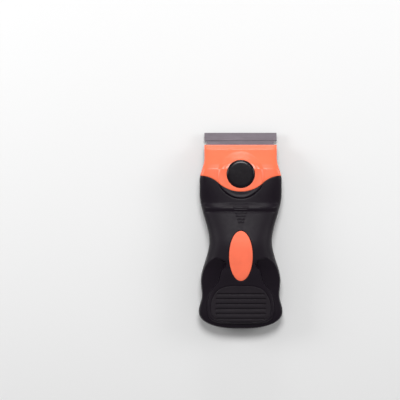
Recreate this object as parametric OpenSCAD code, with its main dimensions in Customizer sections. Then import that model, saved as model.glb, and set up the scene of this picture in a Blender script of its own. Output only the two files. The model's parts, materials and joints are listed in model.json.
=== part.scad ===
// Razor blade scraper with a push-button blade clamp.
// It lies on its flat back: X is its width, +Y points to the blade and +Z out of its front.
// Places along the body are distances from the lip, which is the front edge of the head.

/* [Body] */
// Length of the body from its lip to the end of its tail
body_l = 99.2; // [94:0.1:106]
// Width of the head at its lip
head_w = 39.1; // [38.6:0.1:41]
// Width over the shoulders
shoulder_w = 44.2; // [42.4:0.1:47]
// Width at the waist
waist_w = 33.7; // [30:0.1:37]
// Width over the hips
hip_w = 43; // [40:0.1:46]
// Width at the pinch between hips and tail
pinch_w = 41.8; // [39:0.1:44]
// Greatest width of the tail
tail_w = 45.2; // [42:0.1:48]
// Wall of the moulded shells
wall = 2; // [1.6:0.1:2.4]
// Height of the joint between the front and back shells
joint_z = 7; // [6.6:0.1:7.6]

/* [Head] */
// Height of the lip's upper edge
lip_z = 5.6; // [5.2:0.1:6.2]
// Length of the bevel behind the lip
bevel_l = 2.6; // [2:0.1:3.2]
// Height at the top of the bevel
bevel_z = 8.4; // [8:0.1:9]
// Distance from the lip to the crease
crease_at = 10.4; // [9.8:0.1:11.2]
// Height at the crease
crease_z = 12.2; // [11.8:0.1:12.6]
// Length of the rounding from the crease to the flat
crease_l = 2.6; // [2:0.1:3]
// Height of the head's flat
head_z = 13.2; // [12.9:0.1:13.8]
// Distance from the lip to the start of the flare
flare_at = 7.4; // [6:0.1:9]
// Distance from the lip to the front end of the shoulders
shoulder_at = 19; // [17:0.1:21]
// Length of the straight shoulders
shoulder_l = 7.2; // [5:0.1:9]

/* [Handle] */
// Distance from the lip to the ridge across the handle
ridge_at = 31.4; // [30.5:0.1:32.4]
// Length of the ridge's rise
ridge_l = 1.4; // [1:0.1:2]
// Height of the ridge
ridge_z = 15.4; // [14.8:0.1:16]
// Distance from the lip to the groove behind the ridge
groove_at = 34.7; // [34.4:0.1:35.4]
// Length of the groove
groove_l = 1.8; // [1.4:0.1:2.2]
// Depth of the groove
groove_d = 0.9; // [0.5:0.1:1.2]
// Height of the plateau's crown
crown_z = 19; // [18:0.1:21]
// Height of the raised tail
tail_z = 14.2; // [13.4:0.1:15]
// Height of the flanks beside the raised tail
flank_z = 11.8; // [11:0.1:12.6]
// Radius of the back's edges
back_r = 2.6; // [1.6:0.1:3.2]

/* [Wave] */
// Distance from the lip to the lowest point of the head's lobe
lobe_at = 25.6; // [25:0.1:26.4]
// Radius of the lobe
lobe_r = 17.8; // [16.5:0.1:19]
// Radius of the sweeps beside the lobe
sweep_r = 14; // [12:0.1:16]
// Slope where lobe and sweep meet, in degrees
wave_slope = 43; // [38:1:46]
// Gap between head cover and front shell
wave_gap = 0.12; // [0.05:0.01:0.2]

/* [Button] */
// Diameter of the push button
button_d = 15.1; // [14.4:0.1:15.8]
// Distance from the lip to the button's centre
button_at = 15.8; // [15.2:0.1:16.4]
// Height of the button's face
button_z = 14.6; // [14.2:0.1:15.2]
// Bevel round the button's face
button_bevel = 0.65; // [0.3:0.05:0.9]
// Travel of the button
button_travel = 1.5; // [1:0.1:1.6]
// Gap round the button
button_gap = 0.08; // [0.03:0.01:0.1]
// Width of the flange that keeps the button in
flange_w = 0.8; // [0.5:0.1:1]
// Thickness of the flange
flange_t = 0.9; // [0.6:0.1:1]
// Radius of the raised ring round the button
ring_r = 12; // [11.4:0.1:12.6]
// How far the ring's centre lies behind the button's
ring_back = 1.2; // [0.6:0.1:1.6]
// Height of the ring above the head
ring_h = 0.7; // [0.4:0.1:1]
// How much higher the ring stands in front of the button
ring_front_h = 1.2; // [0.8:0.1:1.6]

/* [Blade] */
// Width of the blade
blade_w = 39; // [38:0.1:39]
// Height of the blade from spine to cutting edge
blade_h = 19.05; // [18.4:0.05:19.2]
// Thickness of the blade's leaf
leaf_t = 0.25; // [0.2:0.01:0.35]
// Thickness of the folded spine
spine_t = 1.1; // [0.9:0.05:1.2]
// Height of the folded spine
spine_h = 4.3; // [4:0.1:4.8]
// Tilt of the blade against the back, in degrees
tilt = 12; // [10:0.5:13]
// How far the blade stands out of the lip
blade_out = 6.6; // [6:0.1:7.2]
// Height of the middle of the spine's outer edge
edge_z = 1.4; // [1.2:0.05:1.6]
// Height of the blade's slot
slot_h = 1.28; // [1.22:0.01:1.34]
// Gap under the leaf, over it and at its ends
leaf_gap = 0.05; // [0.03:0.01:0.08]

/* [Clamp] */
// Diameter of the rocker's pin
pin_d = 1.6; // [1.4:0.1:1.8]
// Distance from the lip to the pin
pin_at = 9.2; // [9:0.1:9.6]
// Height of the pin
pin_z = 7.1; // [7:0.05:7.2]
// Radius of the rocker's hub
hub_r = 1.5; // [1.35:0.05:1.6]
// Thickness of the rocker's plate
plate_t = 0.8; // [0.6:0.05:0.9]
// Width of the rocker's jaw
jaw_w = 31; // [26:0.5:32]
// Thickness of the jaw's pad
pad_t = 0.5; // [0.4:0.05:0.6]
// Width of the rocker's arm
arm_w = 9; // [7:0.5:10]
// Outside diameter of the spring
spring_d = 5; // [4.6:0.1:5.2]
// Thickness of the spring's wire
wire_d = 0.6; // [0.5:0.05:0.7]

/* [Grips] */
// Length of the oval inlay
oval_l = 26.9; // [24:0.1:29]
// Width of the oval inlay
oval_w = 12.7; // [11:0.1:14]
// Thickness of the oval inlay
oval_t = 1.1; // [0.8:0.1:1.3]
// Thickness of the tail pad
grip_t = 1.1; // [0.8:0.1:1.3]
// Number of grooves across the tail pad
groove_n = 6; // [3:1:7]
// Spacing of those grooves
groove_step = 2.65; // [2.2:0.05:2.9]
// Radius of those grooves
groove_r = 0.55; // [0.3:0.05:0.7]
// Length of those grooves
groove_w = 27; // [22:0.5:28]
// Number of thumb ribs
rib_n = 6; // [3:1:7]
// Spacing of the thumb ribs
rib_step = 1.6; // [1.3:0.05:1.8]
// Length of the first thumb rib
rib_l = 8.6; // [6:0.1:10]
// How far the inlay and the pad stand out of the shell
inlay_rise = 0.2; // [0.1:0.05:0.4]

/* [Screws] */
// Outside diameter of the screws' thread
screw_d = 2.6; // [2.2:0.1:2.8]
// Diameter of the screws' heads
screw_head_d = 4.6; // [4:0.1:5]
// Height of the screws' heads
screw_head_h = 1.6; // [1.2:0.1:1.8]
// Depth of the heads below the back
screw_sink = 0.8; // [0.4:0.1:1.2]
// Distance of the head screws from the middle
head_screw_x = 14.5; // [14:0.1:15]
// Distance from the lip to the head screws
head_screw_at = 15.6; // [15.2:0.1:16]
// Distance of the handle screws from the middle
tail_screw_x = 12.5; // [11.5:0.1:13.5]

/* [Hidden] */
$fn = 64;
// How far cuts run past the faces that they open
over = 0.6;
// How far large cuts and blocks reach
reach = 60;

// Driving places along the body
lip_y = (body_l - blade_out) / 2;
tail_y = lip_y - body_l;
handle_l = body_l - ridge_at;
crease_end = crease_at + crease_l;
shoulder_end = shoulder_at + shoulder_l;
groove_end = groove_at + groove_l;
waist_share = 0.307;
hip_share = 0.621;
pinch_share = 0.732;
tail_share = 0.86;
tail_at = handle_at(tail_share);
function y_at(t) = lip_y - t;
function handle_at(share) = ridge_at + share * handle_l;

// Curves through a list of [place, value] stops
function ease(u) = u * u * (3 - 2 * u);
function span(t, stops, i = 0) =
    i >= len(stops) - 2 || t <= stops[i + 1].x ? i : span(t, stops, i + 1);
function eased(t, stops) =
    let (i = span(t, stops), a = stops[i], b = stops[i + 1])
    a.y + (b.y - a.y) * ease(max(0, min(1, (t - a.x) / (b.x - a.x))));
function straight(t, stops) =
    let (i = span(t, stops), a = stops[i], b = stops[i + 1])
    a.y + (b.y - a.y) * (t - a.x) / (b.x - a.x);
function slope_at(stops, i) =
    let (a = stops[max(0, i - 1)], b = stops[min(len(stops) - 1, i + 1)])
    (b.y - a.y) / (b.x - a.x);
function curved(t, stops) =
    let (i = span(t, stops), a = stops[i], b = stops[i + 1], l = b.x - a.x, u = (t - a.x) / l)
    a.y + (b.y - a.y) * ease(u)
    + l * u * (1 - u) * (slope_at(stops, i) * (1 - u) - slope_at(stops, i + 1) * u);

// Half the body's width along its length
plan = [
    [flare_at, head_w / 2],
    [shoulder_at, shoulder_w / 2],
    [shoulder_end, shoulder_w / 2],
    [handle_at(waist_share), waist_w / 2],
    [handle_at(hip_share), hip_w / 2],
    [handle_at(pinch_share), pinch_w / 2],
    [tail_at, tail_w / 2]];
end_power = 2.3;
end_height_power = 3;
last_share = 0.995;
function end_share(t, power) =
    let (u = last_share * max(0, t - tail_at) / (body_l - tail_at))
    pow(1 - pow(u, power), 1 / power);
function half_w(t) = eased(t, plan) * end_share(t, end_power);

// Height of the front along the middle
head_line = [
    [0, lip_z], [bevel_l, bevel_z], [crease_at, crease_z], [crease_end, head_z],
    [ridge_at, head_z], [ridge_at + ridge_l, ridge_z], [groove_at, ridge_z],
    [groove_at + groove_l / 2, ridge_z - groove_d], [groove_end, ridge_z]];
spine_shares = [[0.19, 0.6], [0.307, 1], [0.42, 0.95], [0.54, 0.68], [0.66, 0.34], [0.78, 0.12]];
spine_line = concat(
    [[groove_end, ridge_z]],
    [for (s = spine_shares) [handle_at(s.x), tail_z + s.y * (crown_z - tail_z)]],
    [[tail_at, tail_z], [body_l, tail_z]]);
function spine_z(t) = t < groove_end ? straight(t, head_line) : curved(t, spine_line);

// Height of the joint between the shells: along the blade's slot in the head, flat in the handle
slot_top = slot_h - leaf_t / 2 - leaf_gap;
edge_y = lip_y + blade_out - spine_t / 2 * (1 - cos(tilt));
function slot_z(y, off) = edge_z + (edge_y - y) * tan(tilt) + off / cos(tilt);
function joint_at(t) = min(joint_z, slot_z(y_at(t), slot_top));
// Height of the body's widest line, just over the joint
line_rise = 0.3;
function widest_at(t) = joint_at(t) + line_rise;

// Height of the back, which rises a little at the lip
heel_at = 6;
heel_z = 1.2;
function back_z(t) = max(0, heel_z * (1 - t / heel_at));

// Section across the body: a rounded top over the joint and a flat back with round edges
head_power = 7;
handle_power = 3;
power_line = [[crease_end, head_power], [ridge_at, handle_power], [body_l, handle_power]];
draft = 0.8;
top_n = 9;
edge_n = 3;
function power_at(t) = eased(t, power_line);
function half_ring(t, grow, z) =
    let (w = half_w(t) + grow, e = 2 / power_at(t), h = end_share(t, end_height_power),
         m = widest_at(t), top = (z - m) * h + grow, b = (m - back_z(t)) * h + grow,
         r = min(back_r, b / 2, w / 2), d = min(draft, w / 4))
    concat(
        [for (i = [1:top_n])
            let (a = 90 - 90 * i / top_n)
            [w * pow(max(0, cos(a)), e), m + top * pow(max(0, sin(a)), e)]],
        [for (i = [0:edge_n])
            let (a = 90 * i / edge_n)
            [w - d - r + r * cos(a), m - b + r - r * sin(a)]]);
function ring(t, grow, z) =
    let (half = half_ring(t, grow, z), y = y_at(t), last = len(half) - 1,
         m = widest_at(t), top = (z - m) * end_share(t, end_height_power) + grow)
    concat(
        [[0, y, m + top]],
        [for (p = half) [p.x, y, p.y]],
        [for (i = [0:last]) [-half[last - i].x, y, half[last - i].y]]);

// Height of the front's surface at a distance from the middle
function front_z(x, t) =
    let (m = widest_at(t), p = power_at(t), side = pow(min(1, abs(x) / half_w(t)), p))
    m + (spine_z(t) - m) * end_share(t, end_height_power) * pow(1 - side, 1 / p);

// A closed solid through rings of points, one after the other
module loft(rings) {
    n = len(rings[0]);
    last = len(rings) - 1;
    sides = [for (i = [0:last - 1], j = [0:n - 1])
        let (a = i * n + j, b = i * n + (j + 1) % n)
        each [[a, b, a + n], [b, b + n, a + n]]];
    caps = [for (j = [1:n - 2]) each [[0, j + 1, j], [last * n, last * n + j, last * n + j + 1]]];
    polyhedron(points = [for (r = rings) each r], faces = concat(sides, caps));
}

// Places of the rings, closer together where the shape turns
function steps(a, b, n) = [for (i = [0:n - 1]) a + (b - a) * i / n];
end_steps = 7;
function end_places(n) = [for (i = [1:n]) tail_at + (body_l - tail_at) * sin(90 * i / n)];
body_places = concat(
    [0], steps(bevel_l, crease_at, 3), steps(crease_at, crease_end, 2),
    steps(crease_end, ridge_at, 6), [ridge_at, ridge_at + ridge_l], steps(groove_at, groove_end, 2),
    steps(groove_end, tail_at, 20), [tail_at], end_places(end_steps));
// The body's shape between two places, drawn in or out all round
module body(grow = 0, from = 0, to = body_l) {
    loft([for (t = body_places) if (t >= from && t <= to) ring(t, grow, spine_z(t))]);
}

// The floor of the flanks, wider than the body, which the tail's raised part stands above
flank_shares = [
    [0.33, 1.4], [0.405, 1], [0.44, 0.8], [0.49, 0.5], [0.53, 0.32], [0.62, 0.14], [0.75, 0.04],
    [1, 0]];
flank_line = [for (s = flank_shares) [handle_at(s.x), flank_z + s.y * (crown_z - flank_z)]];
flank_spread = 3;
module flank_floor() {
    loft([for (t = body_places)
        if (t > flank_line[0].x) ring(t, flank_spread, curved(t, flank_line) - flank_spread)]);
}

// Outline of the front's upper level: wide at the brink, narrow beside the oval, wide at the tail
upper_shares = [
    [0.72, 0.405], [0.52, 0.436], [0.375, 0.458], [0.335, 0.485], [0.38, 0.51], [0.44, 0.53],
    [0.475, 0.57], [0.505, 0.613], [0.58, 0.653], [0.675, 0.693], [0.745, 0.745], [0.785, 0.81],
    [0.78, 0.87], [0.71, 0.918], [0.53, 0.945], [0.2, 0.953]];
function catmull(a, b, c, d, u) =
    ((2 * b) + (c - a) * u + (2 * a - 5 * b + 4 * c - d) * u * u
     + (3 * b - a - 3 * c + d) * u * u * u) / 2;
function smooth_line(points, n) =
    let (last = len(points) - 1)
    concat(
        [for (i = [0:last - 1], k = [0:n - 1])
            catmull(points[max(0, i - 1)], points[i], points[i + 1], points[min(last, i + 2)], k / n)],
        [points[last]]);
function place(share) = [share.x * tail_w / 2, y_at(handle_at(share.y))];
function both_sides(points) =
    concat(points, [for (i = [len(points) - 1:-1:0]) [-points[i].x, points[i].y]]);
module upper_outline() {
    side = smooth_line([for (s = upper_shares) place(s)], 4);
    brink = side[0];
    polygon(both_sides(concat([[reach, brink.y + reach], [reach, brink.y]], side)));
}

// Everything above the front's surface that the flanks take away
module flank_cut() {
    difference() {
        translate([-reach, tail_y - over, flank_z / 2])
            cube([2 * reach, y_at(flank_line[1].x) - tail_y + over, reach]);
        flank_floor();
        translate([0, 0, -over])
            linear_extrude(reach + flank_z) upper_outline();
    }
}

// The raised ring round the button: low and steep at its sides and rear, and a long slope in
// front, where it lifts the wedge up to the button
ring_y = y_at(button_at) - ring_back;
ring_n = 40;
foot_share = 0.16;
brow_share = 0.94;
brow_back_share = 0.2;
top_shares = [0.5, 0.35];
function front_share(a) = pow(max(0, sin(a)), 2);
function ring_place(share, a, rise) =
    let (x = share * ring_r * cos(a), y = ring_y + share * ring_r * sin(a))
    [x, y, front_z(x, lip_y - y) + rise];
module ring_boss() {
    angles = [for (i = [0:ring_n - 1]) -360 * i / ring_n];
    rises = [for (a = angles) ring_h + ring_front_h * front_share(a)];
    feet = [for (a = angles) ring_place(1 + foot_share * front_share(a), a, 0)];
    loft(concat(
        [[for (p = feet) [p.x, p.y, joint_z]]],
        [feet],
        [[for (i = [0:ring_n - 1])
            ring_place(brow_share - brow_back_share * front_share(angles[i]), angles[i], rises[i])]],
        [for (s = top_shares)
            [for (i = [0:ring_n - 1]) ring_place(s, angles[i], rises[i])]]));
}

// A round bead that follows the front's surface across the body
bead_steps = 10;
bead_sides = 8;
module cross_bead(t, l, r, rise) {
    loft([for (i = [0:bead_steps])
        let (x = l * i / bead_steps - l / 2, z = front_z(x, t) + rise)
        [for (k = [0:bead_sides - 1])
            let (a = -360 * k / bead_sides)
            [x, y_at(t) + r * cos(a), z + r * sin(a)]]]);
}

// Side view of the space above the shells' joint
module above_joint() {
    bend_y = edge_y - (joint_z - edge_z - slot_top / cos(tilt)) / tan(tilt);
    front_y = lip_y + over;
    rotate([90, 0, 90])
        linear_extrude(2 * reach, center = true)
        polygon([
            [front_y, slot_z(front_y, slot_top)], [bend_y, joint_z], [tail_y - over, joint_z],
            [tail_y - over, reach], [front_y, reach]]);
}

// Plan of the head, in front of the wavy line, drawn in by a gap
arc_n = 8;
function arc(centre, r, from, to) =
    [for (i = [0:arc_n])
        let (a = from + (to - from) * i / arc_n)
        centre + r * [cos(a), sin(a)]];
module head_plan(gap) {
    lobe_centre = [0, y_at(lobe_at) + lobe_r];
    sweep_centre = lobe_centre + (lobe_r + sweep_r) * [sin(wave_slope), -cos(wave_slope)];
    lobe = arc(lobe_centre, lobe_r - gap, -90, wave_slope - 90);
    sweep = arc(sweep_centre, sweep_r + gap, 90 + wave_slope, 90);
    side = concat(
        [[reach, lip_y + over], [reach, sweep_centre.y + sweep_r + gap]],
        [for (i = [arc_n:-1:0]) sweep[i]], [for (i = [arc_n - 1:-1:0]) lobe[i]]);
    polygon(both_sides([for (p = side) if (p.x > 0) p]));
}
module head_space(gap) {
    translate([0, 0, -over])
        linear_extrude(reach) head_plan(gap);
}

// The blade's own frame: X along its width, Y inwards from the spine's edge, Z up through the leaf
module blade_frame() {
    translate([0, edge_y, edge_z])
        rotate([-tilt, 0, 0])
        mirror([0, 1, 0])
        children();
}
leaf_top = leaf_t / 2;
module blade_slot() {
    end_gap = 2 * leaf_gap;
    blade_frame()
        translate([-blade_w / 2 - end_gap, -over, -leaf_top - leaf_gap])
        cube([blade_w + 2 * end_gap, blade_h + over + end_gap, slot_h + over]);
    // The bed's recess for the spine when the blade is turned round
    recess_d = (spine_t - leaf_t) / 2 + leaf_gap;
    blade_frame()
        translate([-blade_w / 2 - end_gap, blade_h - spine_h - end_gap, -leaf_top - recess_d])
        cube([blade_w + 2 * end_gap, spine_h + 2 * end_gap, slot_h]);
}

// Places of the clamp
button_y = y_at(button_at);
pin_y = y_at(pin_at);
cover_share = 0.85;
cover_t = cover_share * wall;
ceiling_z = head_z - cover_t;
jaw_tip = 9.6;
jaw_l = 2.4;
clamp_x = jaw_w / 2 + wall / 4;
side_gap = 0.2;
lip_t = 1.7;
arm_l = 9.2;
arm_z = 8.2;
arm_t = 1;
floor_z = wall;
spring_top = arm_z - arm_t;
bore_r = button_d / 2 + button_gap;
flange_r = button_d / 2 + flange_w;
flange_gap = 0.3;

// Hollow of the head cover over the rocker's jaw
module jaw_room() {
    back_y = button_y + flange_r / 3;
    rotate([90, 0, 90])
        linear_extrude(2 * clamp_x, center = true)
        polygon([
            [y_at(lip_t), 0], [y_at(lip_t), bevel_z - cover_t],
            [y_at(bevel_l), bevel_z - cover_t], [y_at(crease_at), crease_z - cover_t],
            [y_at(crease_end), ceiling_z], [back_y, ceiling_z], [back_y, 0]]);
}
module button_room() {
    room_r = flange_r + flange_gap;
    translate([0, button_y, 0])
        intersection() {
            cylinder(r = room_r, h = ceiling_z);
            translate([-reach, -reach, 0])
                cube([2 * reach, reach + flange_r / 3 + flange_gap, reach]);
        }
    translate([0, button_y, 0])
        cylinder(r = bore_r, h = reach);
}

pin_seat = 0.02;
module pin_bore(r) {
    translate([0, pin_y, pin_z])
        rotate([0, 90, 0])
        cylinder(r = r, h = 2 * reach, center = true);
}

// Screws: a pan head, a shank and the post that each one bites
screw_l = 8;
pilot_gap = 0.05;
tail_screw_y = y_at(handle_at(tail_share)) + screw_head_d;
head_screw_y = y_at(head_screw_at);
module at_screws(x, y) {
    for (side = [-1, 1])
        translate([side * x, y, 0])
            children();
}
module screw() {
    cross_w = screw_head_d / 8;
    cross_l = screw_head_d / 2;
    cross_d = screw_head_h / 2;
    head_top = screw_sink + screw_head_h;
    difference() {
        union() {
            translate([0, 0, screw_sink])
                cylinder(d1 = screw_head_d - screw_head_h / 2, d2 = screw_head_d, h = screw_head_h / 3);
            translate([0, 0, screw_sink + screw_head_h / 3])
                cylinder(d = screw_head_d, h = screw_head_h * 2 / 3);
            translate([0, 0, head_top])
                cylinder(d = screw_d, h = screw_l - screw_d / 2);
            translate([0, 0, head_top + screw_l - screw_d / 2])
                cylinder(d1 = screw_d, d2 = screw_d / 3, h = screw_d / 2);
        }
        for (turn = [0, 90])
            rotate(turn)
                translate([-cross_l / 2, -cross_w / 2, 0])
                cube([cross_l, cross_w, screw_sink + cross_d]);
    }
}
module screw_hole() {
    head_gap = 0.15;
    translate([0, 0, -over])
        cylinder(d = screw_head_d + 2 * head_gap, h = over + screw_sink + screw_head_h);
    cylinder(d = screw_d + 2 * pilot_gap, h = screw_sink + screw_head_h + screw_l + over);
}

// Hollow of the handle, between the front and back shells
cavity_shares = [-0.03, 0.06, 0.15, 0.24, 0.34, 0.44, 0.54, 0.66, 0.78, 0.86, 0.92];
module cavity() {
    difference() {
        loft([for (s = cavity_shares)
            let (t = handle_at(s))
            ring(t, -wall, min(spine_z(t), s > flank_shares[0].x ? curved(t, flank_line) : crown_z)
                 - max(oval_t, grip_t) / 2)]);
        at_screws(tail_screw_x, tail_screw_y)
            cylinder(d = screw_head_d + wall, h = reach);
    }
}

module oval_plan(gap) {
    n = 48;
    polygon([for (i = [0:n - 1])
        [(oval_w / 2 + gap) * cos(360 * i / n), (oval_l / 2 + gap) * sin(360 * i / n)]]);
}
oval_share = 0.418;
module oval_skin(grow) {
    middle = handle_at(oval_share);
    body(grow, middle - oval_l * 3 / 4, middle + oval_l * 3 / 4);
}
module oval_space(gap) {
    translate([0, y_at(handle_at(oval_share)), joint_z])
        linear_extrude(reach) oval_plan(gap);
}

pad_shares = [
    [0.16, 0.655], [0.34, 0.662], [0.5, 0.682], [0.615, 0.722], [0.685, 0.772], [0.715, 0.83],
    [0.695, 0.88], [0.61, 0.918], [0.42, 0.937], [0.16, 0.942]];
pad_margin_share = 0.08;
pad_end_share = 0.98;
module pad_skin(grow) {
    body(grow, handle_at(pad_shares[0].y - pad_margin_share), handle_at(pad_end_share));
}
module pad_space(gap) {
    outline = smooth_line([for (s = pad_shares) place(s)], 3);
    translate([0, 0, joint_z])
        linear_extrude(reach) offset(delta = gap) polygon(both_sides(outline));
}

module head_cover() color("#f4693c") {
    difference() {
        intersection() {
            union() {
                body(0, 0, ridge_at);
                ring_boss();
            }
            above_joint();
            head_space(wave_gap / 2);
        }
        jaw_room();
        button_room();
        pin_bore(pin_d / 2 + pin_seat);
        at_screws(head_screw_x, head_screw_y) screw_hole();
    }
}

module thumb_ribs() {
    rib_r = rib_step / 4;
    for (i = [0:rib_n - 1]) {
        t = ridge_at + ridge_l + rib_step * (i + 0.5);
        l = rib_l * (1 - i / (rib_n + 2));
        translate([0, y_at(t), spine_z(t) - rib_r / 4])
            rotate([0, 90, 0])
            cylinder(r = rib_r, h = l, center = true);
    }
}

module front_shell() color("#2b282d") {
    difference() {
        union() {
            difference() {
                intersection() {
                    union() {
                        body(0, crease_at);
                        ring_boss();
                    }
                    above_joint();
                }
                head_space(-wave_gap / 2);
                flank_cut();
            }
            thumb_ribs();
        }
        cavity();
        at_screws(tail_screw_x, tail_screw_y) screw_hole();
        difference() {
            oval_space(leaf_gap);
            oval_skin(-oval_t);
        }
        difference() {
            pad_space(leaf_gap);
            pad_skin(-grip_t);
        }
    }
}

module back_shell() color("#1f1d21") {
    step_z = spring_top - button_travel;
    well_w = arm_w + wall;
    difference() {
        body();
        above_joint();
        cavity();
        blade_slot();
        translate([-well_w / 2, button_y - spring_d, floor_z])
            cube([well_w, 1.5 * spring_d, reach]);
        translate([-well_w / 2, button_y, step_z])
            cube([well_w, 2 * spring_d, reach]);
        at_screws(head_screw_x, head_screw_y) screw_hole();
        at_screws(tail_screw_x, tail_screw_y) screw_hole();
    }
}

module oval_inlay() color("#f2653a") {
    difference() {
        intersection() {
            oval_skin(inlay_rise);
            oval_space(0);
        }
        oval_skin(-oval_t);
    }
}

module tail_pad() color("#3a363c") {
    last_t = handle_at(pad_shares[len(pad_shares) - 3].y);
    sides = [for (s = pad_shares) [handle_at(s.y), s.x * tail_w]];
    difference() {
        intersection() {
            pad_skin(inlay_rise);
            pad_space(0);
        }
        pad_skin(-grip_t);
        for (i = [0:groove_n - 1]) {
            t = last_t - groove_step * i;
            cross_bead(t, min(groove_w, straight(t, sides) - 4 * groove_r), groove_r, inlay_rise);
        }
    }
}

module push_button() color("#17151a") {
    face_t = 1.8;
    skirt_t = 1.4;
    stem_r = 2;
    tip_r = stem_r / 3;
    tip_h = stem_r / 3;
    tip_gap = 0.15;
    tip_z = arm_z + tip_gap;
    button_r = button_d / 2;
    under_z = button_z - face_t;
    skirt_z = ceiling_z - leaf_gap - flange_t;
    translate([0, button_y, 0]) {
        rotate_extrude()
            polygon([
                [0, tip_z], [tip_r, tip_z], [stem_r, tip_z + tip_h], [stem_r, under_z],
                [button_r - skirt_t, under_z], [button_r - skirt_t, skirt_z], [button_r, skirt_z],
                [button_r, button_z - button_bevel], [button_r - button_bevel, button_z],
                [0, button_z]]);
        difference() {
            translate([0, 0, skirt_z])
                cylinder(r = flange_r, h = flange_t);
            translate([0, 0, skirt_z - over])
                cylinder(r = button_r - skirt_t / 2, h = flange_t + 2 * over);
            translate([-reach, flange_r / 3, 0])
                cube([2 * reach, reach, reach]);
        }
    }
}

// The rocker: a hub on the pin, a jaw ahead of it along the blade and an arm behind it
module clamp_rocker() color("#9a9ca0") {
    jaw_z = leaf_top + leaf_gap + pad_t;
    hub_in = (edge_y - pin_y) * cos(tilt) + (pin_z - edge_z) * sin(tilt);
    hub_up = (pin_z - edge_z) * cos(tilt) - (edge_y - pin_y) * sin(tilt);
    web = hub_r * 3 / 4;
    difference() {
        union() {
            translate([0, pin_y, pin_z])
                rotate([0, 90, 0])
                cylinder(r = hub_r, h = 2 * (clamp_x - side_gap), center = true);
            blade_frame()
                rotate([90, 0, 90])
                linear_extrude(jaw_w, center = true)
                polygon([
                    [jaw_tip, jaw_z], [jaw_tip, jaw_z + plate_t],
                    [jaw_tip + jaw_l, jaw_z + plate_t], [hub_in, hub_up + web],
                    [hub_in, hub_up - web], [jaw_tip + jaw_l, jaw_z]]);
            translate([-arm_w / 2, pin_y - arm_l, arm_z - arm_t])
                cube([arm_w, arm_l, arm_t]);
        }
        pin_bore(pin_d / 2 + leaf_gap);
    }
}

module jaw_pad() color("#35323a") {
    blade_frame()
        translate([-jaw_w / 2 + wall / 2, jaw_tip, leaf_top + leaf_gap])
        cube([jaw_w - wall, jaw_l, pad_t]);
}

module rocker_pin() color("#b9bbc0") {
    inset = 0.2;
    length = 2 * (half_w(pin_at) - inset);
    translate([0, pin_y, pin_z])
        rotate([0, 90, 0])
        cylinder(d = pin_d, h = length, center = true);
}

// The spring's wire as one tube along a helix
coil_n = 4;
coil_steps = 8;
wire_sides = 6;
function coil_point(a) =
    let (r = (spring_d - wire_d) / 2, rise = spring_top - floor_z - wire_d)
    [r * cos(a), r * sin(a), floor_z + wire_d / 2 + rise * a / (360 * coil_n)];
module button_spring() color("#a7a9ad") {
    wire_r = wire_d / 2;
    pitch = (spring_top - floor_z - wire_d) / coil_n;
    echo(spring_gap = pitch - wire_d);
    translate([0, button_y, 0])
        loft([for (i = [0:coil_n * coil_steps])
            let (a = 360 * i / coil_steps, c = coil_point(a))
            [for (k = [0:wire_sides - 1])
                let (b = -360 * k / wire_sides)
                c + wire_r * [cos(b) * cos(a), cos(b) * sin(a), sin(b)]]]);
}

notch_h = 2.6;
notch_gap = 0.2;
notch_at = spine_h + notch_gap;
notch_d = 1.6;
module blade_leaf() color("#8f8b91") {
    edge_h = 1.2;
    blade_frame()
        difference() {
            translate([-blade_w / 2, spine_t / 2, -leaf_top])
                cube([blade_w, blade_h - spine_t / 2, leaf_t]);
            for (side = [-1, 1])
                translate([side * blade_w / 2, notch_at, -leaf_t])
                    linear_extrude(2 * leaf_t)
                    polygon([
                        [side * over, -over / 3], [-side * notch_d, notch_h / 4],
                        [-side * notch_d, notch_h * 3 / 4], [side * over, notch_h + over / 3]]);
        }
}
module blade_spine() color("#a29fa5") {
    fold_r = spine_t / 2;
    inner = leaf_top;
    blade_frame()
        rotate([90, 0, 90])
        linear_extrude(blade_w, center = true)
        difference() {
            union() {
                translate([fold_r, 0]) circle(r = fold_r);
                translate([fold_r, -fold_r]) square([spine_h - fold_r, spine_t]);
            }
            translate([fold_r, -inner]) square([spine_h, leaf_t]);
        }
}

module head_screws() color("#8c8e92") at_screws(head_screw_x, head_screw_y) screw();
module handle_screws() color("#8c8e92") at_screws(tail_screw_x, tail_screw_y) screw();

head_cover();
front_shell();
back_shell();
oval_inlay();
tail_pad();
push_button();
clamp_rocker();
jaw_pad();
rocker_pin();
button_spring();
blade_leaf();
blade_spine();
head_screws();
handle_screws();
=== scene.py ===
"""Looks of a razor blade scraper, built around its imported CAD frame.

Lengths are written in millimetres, in the frame of the CAD: X is the width, +Y points to the
blade and +Z out of the front. Places along the body are distances from the lip, called t.
"""

import json
import math

import bpy
import numpy as np
from mathutils import Matrix, Vector


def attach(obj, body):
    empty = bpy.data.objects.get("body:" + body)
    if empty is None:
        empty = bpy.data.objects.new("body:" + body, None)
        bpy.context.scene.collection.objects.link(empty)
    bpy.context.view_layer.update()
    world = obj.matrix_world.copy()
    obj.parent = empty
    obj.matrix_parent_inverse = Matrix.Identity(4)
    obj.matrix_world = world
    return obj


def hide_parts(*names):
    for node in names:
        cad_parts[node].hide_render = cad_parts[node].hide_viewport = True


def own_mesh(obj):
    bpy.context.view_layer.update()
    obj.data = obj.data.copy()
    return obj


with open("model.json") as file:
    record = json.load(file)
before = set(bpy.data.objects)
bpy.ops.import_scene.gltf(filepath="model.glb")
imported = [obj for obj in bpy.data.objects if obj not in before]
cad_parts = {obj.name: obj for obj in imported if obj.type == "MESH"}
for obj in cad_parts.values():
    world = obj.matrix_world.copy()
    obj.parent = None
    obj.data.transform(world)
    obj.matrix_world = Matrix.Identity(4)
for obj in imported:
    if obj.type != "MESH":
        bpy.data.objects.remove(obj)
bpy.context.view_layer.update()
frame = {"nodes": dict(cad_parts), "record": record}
NODES = frame["nodes"]
MM = 0.001

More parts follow.
